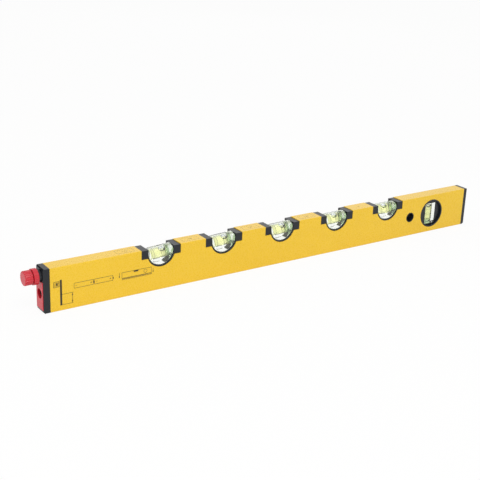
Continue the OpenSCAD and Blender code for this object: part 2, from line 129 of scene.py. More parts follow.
def seen_directly(tree):
    """1 where the eye looks, also by way of gloss and glass, and 0 for light on a surface."""
    path = add_node(tree, "ShaderNodeLightPath").outputs
    gloss = add_node(tree, "ShaderNodeMath",
                     {0: path["Is Camera Ray"], 1: path["Is Glossy Ray"]}, operation="MAXIMUM")
    eye = add_node(tree, "ShaderNodeMath",
                   {0: gloss.outputs[0], 1: path["Is Transmission Ray"]}, operation="MAXIMUM")
    return add_node(tree, "ShaderNodeMath", {0: eye.outputs[0], 1: path["Diffuse Depth"]},
                    operation="SUBTRACT", use_clamp=True).outputs[0]


room = bpy.data.worlds.new("white_room")
room.use_nodes = True
bpy.context.scene.world = room
tree = room.node_tree
towards = add_node(tree, "ShaderNodeTexCoord").outputs["Generated"]
facing = add_node(tree, "ShaderNodeVectorMath", {0: towards, 1: CARD_SIDE},
                  operation="DOT_PRODUCT").outputs["Value"]
card = add_node(tree, "ShaderNodeMapRange",
                {"Value": facing, "From Min": CARD_EDGE[0], "From Max": CARD_EDGE[1],
                 "To Min": 1.0, "To Max": CARD_SHADE}, interpolation_type="SMOOTHSTEP")
straight = add_node(tree, "ShaderNodeLightPath").outputs["Is Camera Ray"]
shown = add_node(tree, "ShaderNodeMath", {0: card.outputs[0], 1: straight}, operation="MAXIMUM")
strength = add_node(tree, "ShaderNodeMix",
                    {0: seen_directly(tree), 2: ROOM_LIGHT, 3: shown.outputs[0]})
background = tree.nodes["Background"]
background.inputs["Color"].default_value = (1, 1, 1, 1)
tree.links.new(strength.outputs[0], background.inputs["Strength"])
print("room light:", ROOM_LIGHT)

# %% [markdown]
# ## Paper sweep
#
# The level stands on white paper. A plain white floor would turn grey in this gentle light, so the
# paper glows a little for the eye only. The part that doesn't glow is lit like any other surface,
# and that part keeps the soft shadow under the level.

# %% Floor of white paper
FLOOR_SIZE = 14.0
FLOOR_GLOW = 0.92

bpy.ops.object.select_all(action="DESELECT")
bpy.ops.mesh.primitive_plane_add(size=FLOOR_SIZE)
floor = bpy.context.object
floor.name = "floor"
paper = bpy.data.materials.new("white_paper_sweep")
paper.use_nodes = True
paper.node_tree.nodes.clear()
lit = add_node(paper.node_tree, "ShaderNodeBsdfDiffuse", {"Color": colour("#F6F6F4")})
glow = add_node(paper.node_tree, "ShaderNodeEmission", {"Color": (1, 1, 1, 1), "Strength": 1.0})
share = add_node(paper.node_tree, "ShaderNodeMath",
                 {0: seen_directly(paper.node_tree), 1: FLOOR_GLOW}, operation="MULTIPLY")
mixed = add_node(paper.node_tree, "ShaderNodeMixShader",
                 {0: share.outputs[0], 1: lit.outputs[0], 2: glow.outputs[0]})
add_node(paper.node_tree, "ShaderNodeOutputMaterial", {"Surface": mixed.outputs[0]})
floor.data.materials.append(paper)
print("floor glow:", FLOOR_GLOW)

# %% [markdown]
# ## Soft boxes
#
# Three large round lamps give the faces their slight differences: one in front and above for the
# long faces, a weaker one beside the laser end, and a faint one behind, whose reflection gives the
# top edge its sheen. Small lamps would draw hard shadows and hot spots that the photograph doesn't
# have. The rear lamp is hidden from glass, so that no disc of light shows in the vials.

# %% Three soft boxes
SOFT_BOXES = {"key_box": ((-0.45, -1.25, 1.7), 1.2, 14),
              "end_box": ((-1.7, -0.3, 0.7), 0.9, 3.5),
              "rim_box": ((1.0, 1.5, 0.75), 1.2, 0.9)}
LIGHT_TURNS = 24
GLOSS_TURNS = 16


def soft_box(name, place, size, watts):
    lamp = bpy.data.objects.new(name, bpy.data.lights.new(name, "AREA"))
    lamp.data.shape = "DISK"
    lamp.data.size = size
    lamp.data.energy = watts
    lamp.location = place
    lamp.rotation_euler = (AIM - Vector(place)).to_track_quat("-Z", "Y").to_euler()
    bpy.context.scene.collection.objects.link(lamp)


for name, (place, size, watts) in SOFT_BOXES.items():
    soft_box(name, place, size, watts)
bpy.data.objects["rim_box"].visible_transmission = False
bpy.context.scene.view_settings.view_transform = "Standard"
# Light crosses many walls of acrylic, spirit and air, so it may turn more often than by default.
bpy.context.scene.cycles.max_bounces = LIGHT_TURNS
bpy.context.scene.cycles.transmission_bounces = LIGHT_TURNS
bpy.context.scene.cycles.glossy_bounces = GLOSS_TURNS
print("lamps:", [lamp.name for lamp in bpy.data.lights])

# %% [markdown]
# ## Opaque finishes
#
# Paint, moulded plastic, print and the small metal pieces are all opaque, and each shows the eye
# three things: a colour that is never quite even, a gloss, and a fine relief from how the surface
# was made. One function could be written per material, but the recipe is the same, so one function
# takes the two close colours, the size of their patches and the size and height of the relief.

# %% One recipe for opaque finishes
NOISE_SPREAD = (0.3, 0.7)


def opaque(name, dark, light, patch, relief, rough, height, **constants):
    material = bpy.data.materials.new(name)
    material.use_nodes = True
    tree = material.node_tree
    shader = tree.nodes["Principled BSDF"]
    place = add_node(tree, "ShaderNodeTexCoord").outputs["Object"]
    broad = add_node(tree, "ShaderNodeTexNoise",
                     {"Vector": place, "Scale": 1 / patch, "Detail": 2.0})
    fine = add_node(tree, "ShaderNodeTexNoise",
                    {"Vector": place, "Scale": 1 / relief, "Detail": 3.0})
    tone = add_node(tree, "ShaderNodeMix", {0: broad.outputs[0], 6: colour(dark), 7: colour(light)},
                    data_type="RGBA")
    gloss = add_node(tree, "ShaderNodeMapRange",
                     {"Value": fine.outputs[0],
                      "From Min": NOISE_SPREAD[0], "From Max": NOISE_SPREAD[1],
                      "To Min": rough[0], "To Max": rough[1]})
    bump = add_node(tree, "ShaderNodeBump",
                    {"Height": fine.outputs[0], "Strength": 1.0, "Distance": height})
    tree.links.new(tone.outputs[2], shader.inputs["Base Color"])
    tree.links.new(gloss.outputs[0], shader.inputs["Roughness"])
    tree.links.new(bump.outputs[0], shader.inputs["Normal"])
    for socket, value in constants.items():
        shader.inputs[socket].default_value = value
    return material


print("share of the noise that sets the gloss:", NOISE_SPREAD)

# %% [markdown]
# ## Coat, mouldings and ink
#
# These four finishes make up nearly all that is seen. The coat's orange peel and the mouldings'
# sparked skin are finer than a pixel at this distance. Their relief could be left out, but it
# shows up close and softens the gloss, so it is drawn a little coarser than it really is.

# %% The outer finishes
FINISH = {}
# Powder coat on aluminium, baked: an even satin yellow with a faint orange peel, drawn coarser.
FINISH["yellow_coat"] = opaque("powder_coated_aluminium", "#EFC21C", "#F3C826", 45 * MM,
                               1.1 * MM, (0.24, 0.32), 0.004 * MM, IOR=1.53)
# ABS moulded in a spark-eroded tool: near black, with a dull, finely pitted skin, drawn coarser.
FINISH["black_plastic"] = opaque("spark_textured_abs", "#11151B", "#181D24", 12 * MM,
                                 0.5 * MM, (0.28, 0.40), 0.008 * MM, IOR=1.53,
                                 **{"Specular IOR Level": 0.38})
# ABS from a polished tool: warm red, smooth, with soft highlights.
FINISH["red_plastic"] = opaque("polished_red_abs", "#C41C2C", "#CE2436", 8 * MM,
                               0.9 * MM, (0.26, 0.36), 0.006 * MM, IOR=1.53)
# Screen-printing ink: flat black, a touch uneven where the coat shows through.
FINISH["line_ink"] = opaque("screen_print_ink", "#15140F", "#2A251A", 0.7 * MM,
                            0.3 * MM, (0.45, 0.6), 0.004 * MM, IOR=1.5)
print("outer finishes:", sorted(FINISH))

# %% [markdown]
# ## Finishes inside the laser end
#
# These pieces sit behind the cap and only show when the level is opened or cut away. They could
# share one grey, but each is a known part of a laser unit, so each gets its own common material.

# %% Metals of the laser unit
# Aluminium, turned and black anodised: dark, satin, with fine tool lines.
FINISH["black_anodised"] = opaque("black_anodised_aluminium", "#1B1C1F", "#232428", 6 * MM,
                                  0.25 * MM, (0.3, 0.42), 0.006 * MM, Metallic=0.6)
# Brass, stamped and left bare: warm and bright, with a hazy sheen.
FINISH["contact_brass"] = opaque("stamped_brass", "#B8903F", "#CBA552", 3 * MM,
                                 0.3 * MM, (0.22, 0.34), 0.004 * MM, Metallic=1.0)
# Steel tube, drawn and nickel plated: cool grey with a soft shine.
FINISH["tube_steel"] = opaque("drawn_steel", "#9C9EA1", "#B2B4B6", 5 * MM,
                              0.35 * MM, (0.25, 0.4), 0.004 * MM, Metallic=1.0)
print("metals:", [FINISH[slot].name for slot in ("black_anodised", "contact_brass", "tube_steel")])

# %% [markdown]
# ## Board, rubber and wraps
#
# The rest of the laser unit is plastic of one kind or another. Each is told apart by its colour
# and by how dull or glossy it is, so those are what its line gives.

# %% Plastics of the laser unit
# Epoxy board under green solder mask: deep green, half gloss.
FINISH["circuit_board"] = opaque("solder_masked_epoxy", "#14512C", "#1C6236", 2 * MM,
                                 0.3 * MM, (0.3, 0.42), 0.004 * MM, IOR=1.55)
# Epoxy moulding compound: charcoal, matt and slightly grainy.
FINISH["component_black"] = opaque("epoxy_moulding", "#1A1A1C", "#242427", 1.5 * MM,
                                   0.2 * MM, (0.5, 0.65), 0.006 * MM, IOR=1.55)
# PVC drawn over copper: even red with a waxy gloss.
FINISH["wire_insulation"] = opaque("extruded_pvc", "#9E241D", "#AD2C24", 4 * MM,
                                   0.4 * MM, (0.32, 0.45), 0.004 * MM, IOR=1.54)
# Nitrile rubber, moulded: soft black without a highlight.
FINISH["seal_rubber"] = opaque("moulded_nitrile", "#121213", "#1B1B1D", 1 * MM,
                               0.25 * MM, (0.6, 0.75), 0.006 * MM, IOR=1.52)
# PVC shrink wrap round a cell: slate blue, tight and glossy.
FINISH["cell_wrap"] = opaque("pvc_shrink_wrap", "#36465A", "#40526A", 10 * MM,
                             0.8 * MM, (0.2, 0.3), 0.006 * MM, IOR=1.54)
# Nylon, moulded without pigment: ivory white with a dull skin.
FINISH["white_plastic"] = opaque("natural_nylon", "#D6D4CB", "#E0DED6", 3 * MM,
                                 0.4 * MM, (0.4, 0.55), 0.008 * MM, IOR=1.53)
print("opaque finishes:", len(FINISH))

# %% [markdown]
# ## Clear finishes
#
# The block of a vial is clear acrylic, and the lens is glass. Each could be faked with alpha, but
# then nothing would bend the light, so both transmit it with their real index. A slow, faint
# change of tint stands for the flow of the casting.

# %% Acrylic and lens glass
ACRYLIC_IOR = 1.49
GLASS_IOR = 1.52
CAST_RIPPLE = 0.01 * MM


def clear(name, thin, deep, patch, index, ripple):
    material = bpy.data.materials.new(name)
    material.use_nodes = True
    tree = material.node_tree
    shader = tree.nodes["Principled BSDF"]
    place = add_node(tree, "ShaderNodeTexCoord").outputs["Object"]
    flow = add_node(tree, "ShaderNodeTexNoise",
                    {"Vector": place, "Scale": 1 / patch, "Detail": 1.0})
    tone = add_node(tree, "ShaderNodeMix", {0: flow.outputs[0], 6: colour(thin), 7: colour(deep)},
                    data_type="RGBA")
    bump = add_node(tree, "ShaderNodeBump",
                    {"Height": flow.outputs[0], "Strength": 1.0, "Distance": ripple})
    tree.links.new(tone.outputs[2], shader.inputs["Base Color"])
    tree.links.new(bump.outputs[0], shader.inputs["Normal"])
    shader.inputs["Roughness"].default_value = 0.0
    shader.inputs["IOR"].default_value = index
    shader.inputs["Transmission Weight"].default_value = 1.0
    return material


# Acrylic, cast and polished: water clear, with a hint of green where it is thick.
FINISH["clear_acrylic"] = clear("polished_acrylic", "#FBFDFA", "#F6FAF4", 9 * MM,
                                ACRYLIC_IOR, CAST_RIPPLE)
# Acrylic tinted deep green as painted shade: lets light through, but takes most of it, to darken and green the end
# of the spirit.
FINISH["vial_plug"] = clear("green_painted_shade_seal", "#B8CEA6", "#AEC69A", 5 * MM,
                            ACRYLIC_IOR, CAST_RIPPLE)
# Glass, ground and coated: clear with a cool cast.
FINISH["lens_glass"] = clear("coated_glass", "#EAF1F8", "#E2ECF6", 2 * MM, GLASS_IOR, 0.0)
print("indices:", ACRYLIC_IOR, GLASS_IOR)

# %% [markdown]
# ## Spirit and air
#
# The spirit is dyed, so the longer light runs through it, the deeper its yellow. A tinted surface
# would colour all light the same, so its volume absorbs instead. The bubble is air seen from inside
# the spirit, so its index is that of air divided by that of spirit. That turns light back at its
# skin, and the bubble shines white.

# %% Dyed spirit and the air in it
SPIRIT_IOR = 1.36
AIR_IOR = 1.0
AIR_SKIN = (1, 1, 1.18, 1)
DYE_DENSITY = 80.0

# Alcohol with a fluorescent dye: absorbs blue strongly, green and red hardly at all.
spirit = clear("dyed_alcohol", "#FFFFFF", "#FBFEF8", 6 * MM, SPIRIT_IOR, 0.0)
dye = add_node(spirit.node_tree, "ShaderNodeVolumeAbsorption",
               {"Color": colour("#F9F500"), "Density": DYE_DENSITY})
spirit.node_tree.links.new(dye.outputs[0],
                           spirit.node_tree.nodes["Material Output"].inputs["Volume"])
FINISH["vial_liquid"] = spirit

# Air under a film of spirit: no colour of its own, only the bright skin. The renderer lets the dye
# colour the air as well, so the skin gives back the blue that the dye takes there.
air = bpy.data.materials.new("air_in_spirit")
air.use_nodes = True
air.node_tree.nodes.clear()
skin = add_node(air.node_tree, "ShaderNodeBsdfGlass",
                {"Color": AIR_SKIN, "Roughness": 0.0, "IOR": AIR_IOR / SPIRIT_IOR})
add_node(air.node_tree, "ShaderNodeOutputMaterial", {"Surface": skin.outputs[0]})
FINISH["air_bubble"] = air
print("air seen from spirit has index", round(AIR_IOR / SPIRIT_IOR, 3))

# %% [markdown]
# ## Finishes on the measured pieces
#
# The body, the inner pieces and the reading lines already have the right shape. They could be
# remade, but a measured shape is best left alone, so they only get their finish by slot.

# %% Give every measured piece its finish
for subpart in frame["record"]["subparts"]:
    for holder in nodes[subpart["node"]].material_slots:
        holder.material = FINISH[subpart["material_slot"]]

# %% [markdown]
# ## Moulded pieces with soft corners
#
# A mould never gives a knife edge: each corner of the caps, holders, bezels, plate and collar has
# a small radius that catches the light. The radius could be drawn in CAD, but it is only there
# for the eye, so a copy of each piece is merged, cleaned of flat seams and bevelled by angle.

# %% Helpers that soften corners and hand a piece over
SOFT_CORNER = math.radians(30)
WELD = 0.001 * MM


def make_active(piece):
    bpy.ops.object.select_all(action="DESELECT")
    piece.select_set(True)
    bpy.context.view_layer.objects.active = piece


def apply_modifier(piece, kind, **settings):
    make_active(piece)
    modifier = piece.modifiers.new(kind.lower(), kind)
    for name, value in settings.items():
        setattr(modifier, name, value)
    bpy.ops.object.modifier_apply(modifier=modifier.name)


def drop_slivers():
    """Merges what a modifier left too close together to be seen, so that no stray face remains."""
    bpy.ops.object.mode_set(mode="EDIT")
    bpy.ops.mesh.select_all(action="SELECT")
    bpy.ops.mesh.remove_doubles(threshold=WELD)
    bpy.ops.mesh.dissolve_degenerate(threshold=WELD)
    bpy.ops.object.mode_set(mode="OBJECT")


def round_corners(piece, width, segments=3):
    """Bevel by angle, then weigh the normals by area, so that flat faces stay flat to the eye."""
    apply_modifier(piece, "BEVEL", width=width, segments=segments, limit_method="ANGLE",
                   angle_limit=SOFT_CORNER, use_clamp_overlap=True)
    drop_slivers()
    bpy.ops.object.shade_smooth_by_angle(angle=SOFT_CORNER)
    apply_modifier(piece, "WEIGHTED_NORMAL", keep_sharp=True)


def hand_over(piece, slot, body="level", stands_for=()):
    piece.data.materials.clear()
    piece.data.materials.append(FINISH[slot])
    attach(piece, body)
    if stands_for:
        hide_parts(*stands_for)


print("corners are softened from", round(math.degrees(SOFT_CORNER)), "degrees")

# %% [markdown]
# ## Caps, holders, bezels, plate and collar
#
# A measured piece comes as loose triangles, which a bevel can't follow. Its copy is merged first,
# and the seams inside flat faces are dissolved, so that only true edges are left to soften.

# %% Copies of the moulded pieces with bevelled corners
FLAT_SEAM = math.radians(0.5)
VIALS = (1, 2, 3, 4, 5)
MOULDED = {"black_plastic": (0.3 * MM, ["laser_end_cap", "plain_end_cap", "plumb_bezel_front",
                                        "plumb_bezel_back", "hang_hole_bush",
                                        *(f"vial_holder_{i}" for i in VIALS)]),
           "red_plastic": (0.4 * MM, ["laser_face_plate", "knob_collar"])}

for slot, (corner, names) in MOULDED.items():
    for name in names:
        piece = bpy.data.objects.new(name + "_moulded", nodes[name].data.copy())
        bpy.context.scene.collection.objects.link(piece)
        make_active(piece)
        bpy.ops.object.mode_set(mode="EDIT")
        bpy.ops.mesh.select_all(action="SELECT")
        bpy.ops.mesh.remove_doubles(threshold=WELD)
        bpy.ops.mesh.customdata_custom_splitnormals_clear()
        bpy.ops.mesh.dissolve_limited(angle_limit=FLAT_SEAM)
        bpy.ops.object.mode_set(mode="OBJECT")
        round_corners(piece, corner)
        hand_over(piece, slot, "level", [name])
        print(piece.name, len(piece.data.polygons), "faces")

# %% [markdown]
# ## Vial block
#
# A vial block is a thick disc, seen from the front, with a half-round crest, seen from the end. It
# could be drawn as one outline and extruded, but then the crest would be flat, so a disc is cut to
# an arch. All five vials are alike, so one set is modelled round its window's middle at the origin.

# %% Helpers that add a primitive and combine two pieces
FLAT = 0.9999


def add_piece(name, primitive, scale=(1, 1, 1), **size_and_place):
    bpy.ops.object.select_all(action="DESELECT")
    primitive(**size_and_place)
    piece = bpy.context.object
    piece.name = piece.data.name = name
    piece.scale = scale
    bpy.ops.object.transform_apply()
    return piece


def pick_faces(piece, test):
    mesh = bmesh.from_edit_mesh(piece.data)
    for part in (*mesh.verts, *mesh.edges, *mesh.faces):
        part.select = False
    for face in mesh.faces:
        if test(face.calc_center_median(), face.normal):
            face.select_set(True)
    bmesh.update_edit_mesh(piece.data)


def mark_rims(piece, test):
    """Marks the rim of some faces sharp, so that soft corners nearby don't bend their shine."""
    bpy.ops.object.mode_set(mode="EDIT")
    pick_faces(piece, test)
    bpy.ops.mesh.region_to_loop()
    bpy.ops.mesh.mark_sharp()
    bpy.ops.object.mode_set(mode="OBJECT")


def combine(piece, tool, operation):
    apply_modifier(piece, "BOOLEAN", object=tool, operation=operation, solver="EXACT")
    bpy.data.objects.remove(tool)
    drop_slivers()
    bpy.ops.mesh.customdata_custom_splitnormals_clear()
    bpy.ops.object.shade_smooth_by_angle(angle=SOFT_CORNER)
    mark_rims(piece, lambda middle, normal: max(map(abs, normal)) > FLAT)


print("a face counts as flat from", FLAT)

# %% [markdown]
# ## The block's outer form
#
# The sizes are read off the level vial. The disc's two edges show as a pale crescent inside the
# holder's rim, so they are rounded. That could be done last, but a bevel would then round the
# crest's outline too, so the disc is rounded before it is cut. Half a cylinder, drawn down from its
# cut face, makes the arch, and what it shares with the disc is the block.

# %% Disc cut to a half-round crest
ROUND_STEPS = 160
FACING = 0.99
ALONG_X = (0, math.pi / 2, 0)
ALONG_Y = (math.pi / 2, 0, 0)
BLOCK_EDGE = 1.0 * MM
EDGE_STEPS = 10
low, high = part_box("vial_block_5")
disc_r = (high.x - low.x) / 2
window_x, window_z = (low.x + high.x) / 2, low.z + disc_r
block_depth = high.y - low.y
crest_z = high.z - low.z - disc_r
crest_middle = crest_z - block_depth / 2

block = add_piece("vial_block_form", bpy.ops.mesh.primitive_cylinder_add, vertices=ROUND_STEPS,
                  radius=disc_r, depth=block_depth, rotation=ALONG_Y)
round_corners(block, BLOCK_EDGE, EDGE_STEPS)
arch = add_piece("arch", bpy.ops.mesh.primitive_cylinder_add, vertices=ROUND_STEPS,
                 radius=block_depth / 2, depth=4 * disc_r, location=(0, 0, crest_middle),
                 rotation=ALONG_X)
bpy.ops.object.mode_set(mode="EDIT")
bpy.ops.mesh.select_all(action="SELECT")
bpy.ops.mesh.bisect(plane_co=(0, 0, crest_middle), plane_no=(0, 0, 1), use_fill=True,
                    clear_inner=True)
pick_faces(arch, lambda middle, normal: abs(normal.z) > FACING and middle.z < crest_middle + WELD)
bpy.ops.mesh.extrude_region_move(TRANSFORM_OT_translate={"value": (0, 0, -2 * disc_r)})
bpy.ops.mesh.select_all(action="SELECT")
bpy.ops.mesh.normals_make_consistent(inside=False)
bpy.ops.object.mode_set(mode="OBJECT")
combine(block, arch, "INTERSECT")
print("block radius, depth, crest in mm:",
      [round(v / MM, 2) for v in (disc_r, block_depth, crest_z)])

# %% [markdown]
# ## Bore and plug
#
# The bore runs in from the right of the block and ends blind. A seal closes it, its deep green tint
# painted shade for the dark green end of the spirit, and acrylic fills the rest. The filling could be
# a plain rod, but its outer end follows the disc, so it is cut from a copy of the block. Both are a
# hair thicker than the bore, so that light passes as it does where they touch.

# %% Drill the block and cut its plug
TOUCH = 0.03 * MM
SEAL = 2.4 * MM
LINE_GAP = 0.02 * MM
DRILL_CORNER = 0.3 * MM
SEAL_CORNER = 0.1 * MM
low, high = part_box("vial_lines_5")
bore_z = (low.z + high.z) / 2 - window_z
bore_r = (high.y - low.y) / 2 + LINE_GAP
low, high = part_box("vial_liquid_5")
bore_start, bore_end = low.x - window_x, high.x - window_x


def bore_rod(name, radius, start, end, corner):
    """A rod along the bore with its end corners rounded, as a drill or a film of liquid leaves."""
    rod = add_piece(name, bpy.ops.mesh.primitive_cylinder_add, vertices=ROUND_STEPS, radius=radius,
                    depth=end - start, location=((start + end) / 2, 0, bore_z), rotation=ALONG_X)
    round_corners(rod, corner)
    return rod


def straight_wall(middle, normal):
    return min(map(abs, normal)) < 1 - FLAT


plug = bpy.data.objects.new("vial_plug_form", block.data.copy())
bpy.context.scene.collection.objects.link(plug)
combine(plug, bore_rod("plug_rod", bore_r + TOUCH, bore_end + SEAL, 2 * disc_r, SEAL_CORNER),
        "INTERSECT")
mark_rims(plug, straight_wall)
# The seal's deep green finish is painted shade at the end of the spirit.
seal = bore_rod("vial_seal_form", bore_r + TOUCH, bore_end, bore_end + SEAL + TOUCH, SEAL_CORNER)
combine(block, bore_rod("bore", bore_r, bore_start, 2 * disc_r, DRILL_CORNER), "DIFFERENCE")
mark_rims(block, straight_wall)
print("bore radius, start and end in mm:",
      [round(v / MM, 2) for v in (bore_r, bore_start, bore_end)])

# %% [markdown]
# ## Spirit and bubble
#
# The spirit fills the bore. The bubble could be a capsule, but a real one lies flat against the
# roof of the bore with a thin film above it, so an egg is cut by a rod a little slimmer than the
# bore.

# %% Fill the bore
FILM = 0.25 * MM
EGG = {"segments": 96, "ring_count": 48, "radius": 1}
BUBBLE_WIDE = 1.9
BUBBLE_TALL = 1.12
BUBBLE_LIFT = 0.5 * MM
low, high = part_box("vial_bubble_5")
bubble_half = (high.x - low.x) / 2
bubble_r = (high.y - low.y) / 2
bubble_z = (low.z + high.z) / 2 - window_z

filling = bore_rod("vial_spirit_form", bore_r + TOUCH, bore_start - TOUCH, bore_end + TOUCH,
                   DRILL_CORNER)
bubble = add_piece("vial_bubble_form", bpy.ops.mesh.primitive_uv_sphere_add, **EGG,
                   location=(0, 0, bubble_z + BUBBLE_LIFT), rotation=ALONG_X,
                   scale=(bubble_r * BUBBLE_TALL, bubble_r * BUBBLE_WIDE, bubble_half))
combine(bubble, bore_rod("roof", bore_r - FILM, -disc_r, disc_r, DRILL_CORNER), "INTERSECT")
print("bubble half length in mm:", round(bubble_half / MM, 2))

# %% [markdown]
# ## Five vials
#
# Each vial is turned in its window by the gradient that it shows, and its bubble stands where the
# level at rest brings it. The set made above is copied to each window, every copy with its own
# mesh, and the first set is then thrown away.

# %% Copy the set to the five windows
SET = {"block": (block, "clear_acrylic"), "plug": (plug, "clear_acrylic"),
       "seal": (seal, "vial_plug"), "liquid": (filling, "vial_liquid"),
       "bubble": (bubble, "air_bubble")}
for i in VIALS:
    axis = Vector(joints[f"bubble_{i}_slide"]["axis"]).normalized()
    low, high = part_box(f"vial_block_{i}")
    window = Vector(((low.x + high.x) / 2, 0, low.z + disc_r))
    low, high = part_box(f"vial_bubble_{i}")
    along = ((low + high) / 2 - window).dot(axis)
    turn = Matrix.Rotation(-math.atan2(axis.z, axis.x), 4, "Y")
    for kind, (form, slot) in SET.items():
        piece = bpy.data.objects.new(f"vial_{i}_{kind}", form.data.copy())
        bpy.context.scene.collection.objects.link(piece)
        slide = along if kind == "bubble" else 0
        piece.matrix_world = Matrix.Translation(window + axis * slide) @ turn
        make_active(piece)
        bpy.ops.object.transform_apply()
        hand_over(piece, slot, f"bubble_{i}" if kind == "bubble" else "level",
                  [name for name in (f"vial_{kind}_{i}",) if name in nodes])
    print(f"vial {i}: rises {round(axis.z / axis.x, 4)}, bubble {round(along / MM, 2)} mm along")
for form, slot in SET.values():
    bpy.data.objects.remove(form)

# %% [markdown]
# ## Plumb vial
#
# The plumb vial is an upright acrylic bar in a black housing, bored from below and closed there by
# a plug. It could be turned from a copy of the vials above, but its block is a plain bar, so it is
# made from a box with rounded edges.

# %% The upright bar and its plug
BAR_EDGE = 0.5 * MM
BAR_STEPS = 4
PAST_END = 5 * MM
STOPPER_CORNER = 0.2 * MM
low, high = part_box("plumb_block")
bar_middle, bar_size = (low + high) / 2, high - low
lines_low, lines_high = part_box("plumb_lines")
plumb_r = (lines_high.x - lines_low.x) / 2 + LINE_GAP
fill_low, fill_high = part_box("plumb_liquid")


def upright_rod(name, radius, start, end, corner):
    rod = add_piece(name, bpy.ops.mesh.primitive_cylinder_add, vertices=ROUND_STEPS, radius=radius,
                    depth=end - start, location=(bar_middle.x, bar_middle.y, (start + end) / 2))
    round_corners(rod, corner)
    return rod


bar = add_piece("plumb_bar", bpy.ops.mesh.primitive_cube_add, size=1, location=bar_middle,
                scale=bar_size)
round_corners(bar, BAR_EDGE, BAR_STEPS)
combine(bar, upright_rod("bore", plumb_r, low.z - PAST_END, fill_high.z, DRILL_CORNER),
        "DIFFERENCE")
mark_rims(bar, straight_wall)
hand_over(bar, "clear_acrylic", "level", ["plumb_block"])
# The stopper takes the seal's deep green, painted shade at the foot of the spirit.
plug = upright_rod("plumb_stopper", plumb_r + TOUCH, low.z, fill_low.z, STOPPER_CORNER)
hand_over(plug, "vial_plug", "level", ["plumb_plug"])
print("plumb bore radius in mm:", round(plumb_r / MM, 2))

# %% [markdown]
# ## Plumb spirit and bubble
#
# The plumb bubble rises to the top of its bore and spreads there. A whole egg would meet the roof
# in a point, so it is an egg on end, cut flat above and below.

# %% Fill the plumb vial
PLUMB_TALL = 0.55
low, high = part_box("plumb_bubble")
middle, size = (low + high) / 2, high - low
fill = upright_rod("plumb_spirit", plumb_r + TOUCH, fill_low.z - TOUCH, fill_high.z + TOUCH,
                   DRILL_CORNER)
hand_over(fill, "vial_liquid", "level", ["plumb_liquid"])
bubble = add_piece("plumb_air_bubble", bpy.ops.mesh.primitive_uv_sphere_add, **EGG,
                   location=middle,
                   scale=(plumb_r - 2 * FILM, plumb_r - 2 * FILM, PLUMB_TALL * size.z))
combine(bubble, upright_rod("roof", plumb_r, low.z, high.z, DRILL_CORNER), "INTERSECT")
hand_over(bubble, "air_bubble", "plumb_air", ["plumb_bubble"])
print("plumb bubble in mm:", [round(v / MM, 2) for v in size])

# %% [markdown]
# ## Switch knob
#
# The knob is a short red grip with flutes for the fingers. The flutes could be cut out one by one,
# but a cylinder with eight sides to each flute only needs the sides in the flutes drawn in, in
# three depths that follow a round cutter.

# %% Fluted grip
FLUTES = 18
SIDES = 8
FLUTE_DEPTHS = {0: 0.5 * MM, 1: 0.42 * MM, 2: 0.07 * MM}
ROUNDING = 0.9 * MM
COLLAR_GAP = 1.0 * MM
low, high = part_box("switch_knob")
knob_r = (high.z - low.z) / 2
axis_z = (low.z + high.z) / 2
grip_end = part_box("knob_collar")[0].x - COLLAR_GAP
grip = add_piece("knob_grip", bpy.ops.mesh.primitive_cylinder_add, vertices=FLUTES * SIDES,
                 radius=knob_r, depth=grip_end - low.x - ROUNDING,
                 location=((grip_end + low.x + ROUNDING) / 2, 0, axis_z), rotation=ALONG_X)
bpy.ops.object.mode_set(mode="EDIT")
for step, depth in FLUTE_DEPTHS.items():
    mesh = bmesh.from_edit_mesh(grip.data)
    for part in (*mesh.verts, *mesh.edges, *mesh.faces):
        part.select = False
    for vert in mesh.verts:
        side = round(math.atan2(vert.co.z - axis_z, vert.co.y) / (2 * math.pi) * FLUTES * SIDES)
        vert.select = min(side % SIDES, -side % SIDES) == step
    mesh.select_flush_mode()
    bmesh.update_edit_mesh(grip.data)
    pull = 1 - depth / knob_r
    bpy.ops.transform.resize(value=(1, pull, pull), center_override=(low.x, 0, axis_z))
bpy.ops.object.mode_set(mode="OBJECT")
print("knob radius in mm:", round(knob_r / MM, 2), "flutes:", FLUTES)

# %% [markdown]
# ## Knob end
#
# The outer end could be bevelled, but a bevel trips over the flutes. So the end face is drawn out
# in three short steps that narrow more and more, which rounds it off.

# %% Rounded end of the grip
END_STEPS = ((-0.45 * MM, 0.975), (-0.3 * MM, 0.955), (-0.15 * MM, 0.94))


def draw_out(piece, side, steps):
    """Draws the face at one side out along X in steps, each scaled about the knob's axis."""
    make_active(piece)
    bpy.ops.object.mode_set(mode="EDIT")
    pick_faces(piece, lambda middle, normal: normal.x * side > FACING)
    for out, scale in steps:
        bpy.ops.mesh.extrude_region_move(TRANSFORM_OT_translate={"value": (out, 0, 0)})
        bpy.ops.transform.resize(value=(1, scale, scale), center_override=(low.x, 0, axis_z))
    bpy.ops.object.mode_set(mode="OBJECT")


draw_out(grip, -1, END_STEPS)
print("grip faces:", len(grip.data.polygons))

# %% [markdown]
# ## Stem
#
# The stem screws into the neck. It could be a plain rod, but it carries a seal ring and a contact,
# so it is drawn out with a groove for the ring, and a pocket in its tip takes the contact's pin.

# %% Stem with a groove and a pocket
STEM_R = 5.42 * MM
PIN_R = 1.5 * MM
ROOM = 0.08 * MM
STEM_ROOT = 2 * MM
STEM_STEPS = 96
STEM_CORNER = 0.2 * MM
ring_low, ring_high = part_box("knob_seal_ring")
groove_start, groove_end = ring_low.x - ROOM, ring_high.x + ROOM
floor_share = 1 - (ring_high.x - ring_low.x + ROOM) / STEM_R
pin_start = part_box("tail_contact")[0].x


def knob_rod(name, radius, start, end):
    return add_piece(name, bpy.ops.mesh.primitive_cylinder_add, vertices=STEM_STEPS, radius=radius,
                     depth=end - start, location=((start + end) / 2, 0, axis_z), rotation=ALONG_X)


